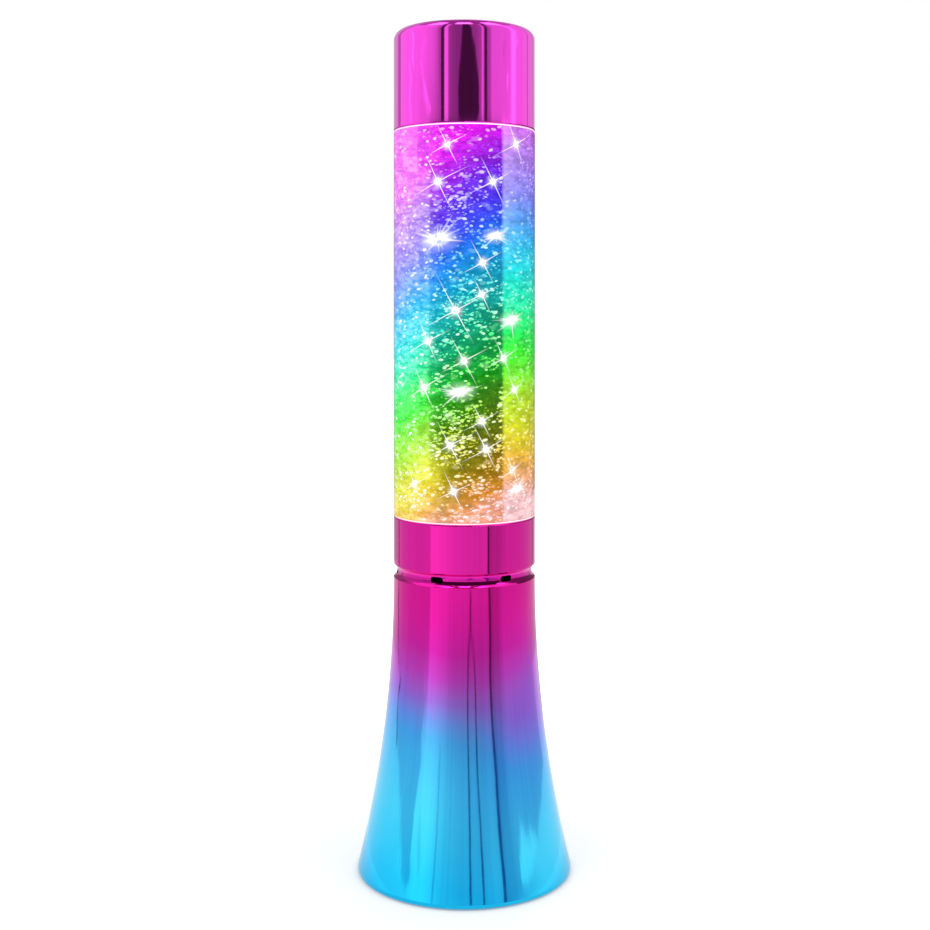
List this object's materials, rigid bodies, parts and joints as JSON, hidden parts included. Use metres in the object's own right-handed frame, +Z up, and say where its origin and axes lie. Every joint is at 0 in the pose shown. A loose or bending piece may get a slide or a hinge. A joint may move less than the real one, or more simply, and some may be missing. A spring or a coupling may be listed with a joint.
{
  "type": "glitter lamp",
  "caption": "Battery glitter lamp: a flared metallic base with a vented collar holds a clear stirred bottle of glitter fluid under a lift-off cap.",
  "frame": {"origin": "centre of the footprint, on the surface that the feet rest on", "axes": "+Z up along the lamp's axis, -Y to the front, the switch and the power inlet face +Y"},
  "size_m": [0.09, 0.09, 0.355],
  "materials": {
    "base_ombre": "metallic lacquer that fades from magenta at the top to cyan at the rim",
    "collar_magenta": "metallic magenta lacquer, glossy",
    "cap_magenta": "metallic bright magenta lacquer, glossy",
    "clear_bottle": "clear, polished",
    "rainbow_fluid": "clear fluid lit in rainbow colours, full of glitter flakes",
    "black_plastic": "fine moulded texture",
    "white_plastic": "satin moulded",
    "frosted_window": "frosted",
    "rubber_foot": "matt",
    "seal_rubber": "smooth",
    "steel": "zinc plated",
    "nickel": "nickel plated",
    "motor_steel": "drawn steel",
    "magnet": "sintered, dull",
    "armature_metal": "laminations with enamelled windings",
    "circuit_board": "green solder mask",
    "chip_black": "moulded package",
    "led_lens": "clear domed lens",
    "cell_jacket": "plain jacket",
    "lead_red": "insulated wire"
  },
  "bodies": {
    "base": {"base_shell": "base_ombre", "collar": "collar_magenta", "bottom_cover": "black_plastic", "cover_screws": "steel", "foot_pads": "rubber_foot", "battery_cells": "cell_jacket", "contact_springs": "nickel", "contact_plates": "nickel", "switch_body": "black_plastic", "power_inlet": "black_plastic", "inlet_pin": "nickel", "inlet_nut": "nickel", "control_board": "circuit_board", "board_screws": "steel", "control_chip": "chip_black", "capacitors": "chip_black", "lead_sockets": "white_plastic", "light_carrier": "black_plastic", "carrier_screws": "steel", "light_window": "frosted_window", "light_board": "circuit_board", "light_board_screws": "steel", "leds": "led_lens", "motor_can": "motor_steel", "motor_end_cap": "black_plastic", "motor_magnets": "magnet", "motor_terminals": "nickel", "motor_screws": "steel", "battery_leads": "lead_red", "switch_leads": "lead_red", "inlet_leads": "lead_red", "motor_leads": "lead_red", "light_leads": "lead_red"},
    "rotor": {"motor_armature": "armature_metal", "motor_shaft": "steel", "magnet_hub": "black_plastic", "drive_magnets": "magnet"},
    "bottle": {"bottle_tube": "clear_bottle", "stirrer_pin": "steel", "stirrer_clip": "white_plastic", "glitter_fluid": "rainbow_fluid", "bottle_lid": "white_plastic", "lid_seal": "seal_rubber", "fill_plug": "white_plastic"},
    "stirrer": {"stirrer_wheel": "white_plastic", "stirrer_magnets": "magnet"},
    "cap": {"cap_shell": "cap_magenta"},
    "switch": {"switch_knob": "black_plastic"},
    "battery_door": {"battery_door": "black_plastic", "door_screw": "steel"}
  },
  "joints": [
    {"name": "bottle_lift", "type": "slide", "parent": "base", "child": "bottle", "axis": [0, 0, 1], "range_m": [0, 0.025]},
    {"name": "cap_lift", "type": "slide", "parent": "bottle", "child": "cap", "axis": [0, 0, 1], "range_m": [0, 0.02]},
    {"name": "motor_spin", "type": "hinge", "parent": "base", "child": "rotor", "pos_m": [0, 0, 0.112], "axis": [0, 0, 1], "continuous": true},
    {"name": "stirrer_spin", "type": "hinge", "parent": "bottle", "child": "stirrer", "pos_m": [0, 0, 0.1388], "axis": [0, 0, 1], "continuous": true},
    {"name": "switch_slide", "type": "slide", "parent": "base", "child": "switch", "axis": [1, 0, 0], "range_m": [0, 0.004]},
    {"name": "door_hinge", "type": "hinge", "parent": "base", "child": "battery_door", "pos_m": [0, -0.0206, 0.0026], "axis": [-1, 0, 0], "range_deg": [0, 80]}
  ],
  "couplings": [
    {"joint": "stirrer_spin", "follows": "motor_spin", "ratio": 1}
  ]
}
